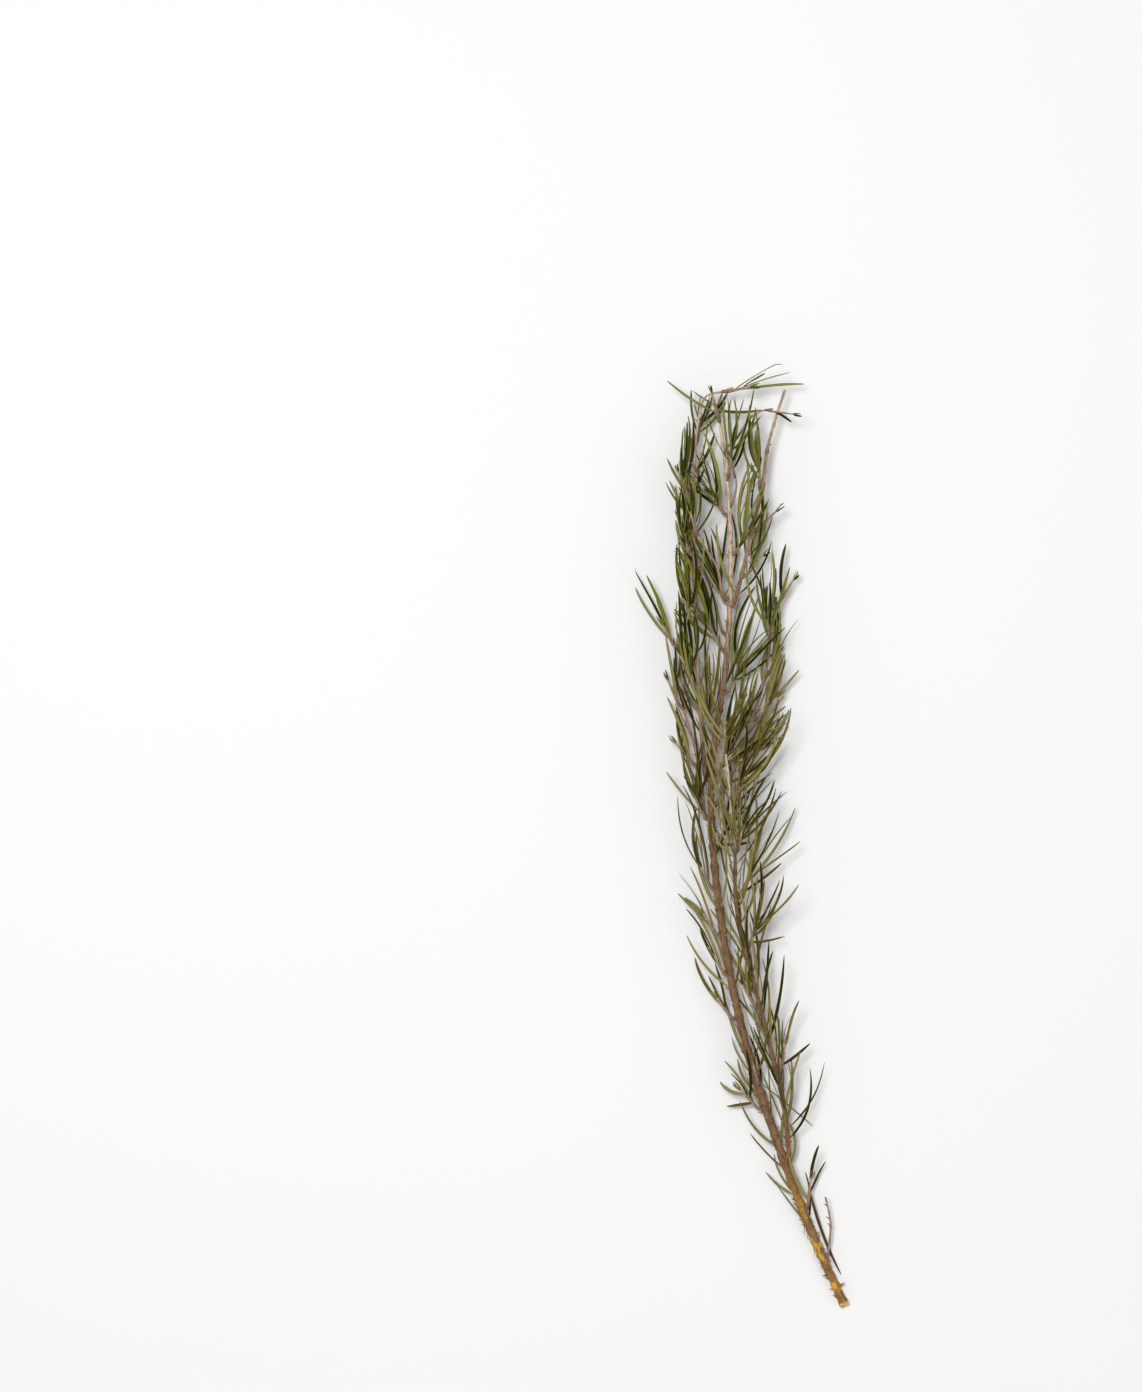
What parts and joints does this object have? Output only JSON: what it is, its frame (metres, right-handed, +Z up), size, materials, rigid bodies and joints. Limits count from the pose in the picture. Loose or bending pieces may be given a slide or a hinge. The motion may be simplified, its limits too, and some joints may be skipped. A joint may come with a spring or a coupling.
{
  "type": "rosemary sprig",
  "caption": "Dried rosemary sprig lying down: a curved woody stem with side branches and tufts of narrow rolled leaves, cut square at the foot.",
  "frame": {"origin": "middle of the sprig's box on the surface it lies on", "axes": "+Y from the cut end to the growing tip, +Z up from the surface, +X to the right seen from above"},
  "size_m": [0.065, 0.2846, 0.0229],
  "materials": {
    "old_wood": "matte",
    "young_wood": "matte",
    "dead_wood": "matte",
    "dry_leaf": "matte",
    "green_leaf": "satin"
  },
  "bodies": {
    "root": {"bent_twig": "young_wood", "bent_twig_leaves_01": "green_leaf", "left_long_branch": "young_wood", "left_long_branch_leaves_01": "green_leaf", "left_long_branch_leaves_02": "green_leaf", "left_long_branch_leaves_03": "green_leaf", "left_long_branch_leaves_04": "green_leaf", "left_long_branch_leaves_05": "green_leaf", "left_long_branch_leaves_06": "green_leaf", "left_thin_branch": "young_wood", "left_thin_branch_leaves_01": "dry_leaf", "left_thin_branch_leaves_02": "dry_leaf", "left_thin_branch_leaves_03": "green_leaf", "lower_dry_twig": "dead_wood", "main_stem": "old_wood", "main_stem_leaves_01": "dry_leaf", "main_stem_leaves_02": "dry_leaf", "main_stem_leaves_03": "dry_leaf", "main_stem_leaves_04": "dry_leaf", "main_stem_leaves_05": "dry_leaf", "main_stem_leaves_06": "dry_leaf", "main_stem_leaves_07": "dry_leaf", "main_stem_leaves_08": "dry_leaf", "main_stem_leaves_09": "dry_leaf", "main_stem_leaves_10": "dry_leaf", "main_stem_leaves_11": "dry_leaf", "main_stem_leaves_12": "green_leaf", "main_stem_leaves_13": "green_leaf", "main_stem_leaves_14": "green_leaf", "main_stem_leaves_15": "green_leaf", "main_stem_leaves_16": "green_leaf", "main_stem_leaves_17": "green_leaf", "main_stem_leaves_18": "green_leaf", "middle_dry_twig": "dead_wood", "right_long_branch": "old_wood", "right_long_branch_leaves_01": "dry_leaf", "right_long_branch_leaves_02": "dry_leaf", "right_long_branch_leaves_03": "dry_leaf", "right_long_branch_leaves_04": "dry_leaf", "right_long_branch_leaves_05": "dry_leaf", "right_long_branch_leaves_06": "dry_leaf", "right_long_branch_leaves_07": "dry_leaf", "right_middle_branch": "young_wood", "right_middle_branch_leaves_01": "dry_leaf", "right_middle_branch_leaves_02": "dry_leaf", "right_middle_branch_leaves_03": "green_leaf", "right_middle_branch_leaves_04": "green_leaf", "right_middle_branch_leaves_05": "green_leaf", "tip_spur": "young_wood", "tip_spur_leaves_01": "green_leaf", "upper_left_high_branch": "young_wood", "upper_left_high_branch_leaves_01": "green_leaf", "upper_left_low_branch": "young_wood", "upper_left_low_branch_leaves_01": "green_leaf", "upper_left_low_branch_leaves_02": "green_leaf", "upper_right_branch": "young_wood", "upper_right_branch_leaves_01": "green_leaf", "upper_right_branch_leaves_02": "green_leaf", "upper_right_branch_leaves_03": "green_leaf"}
  },
  "joints": []
}
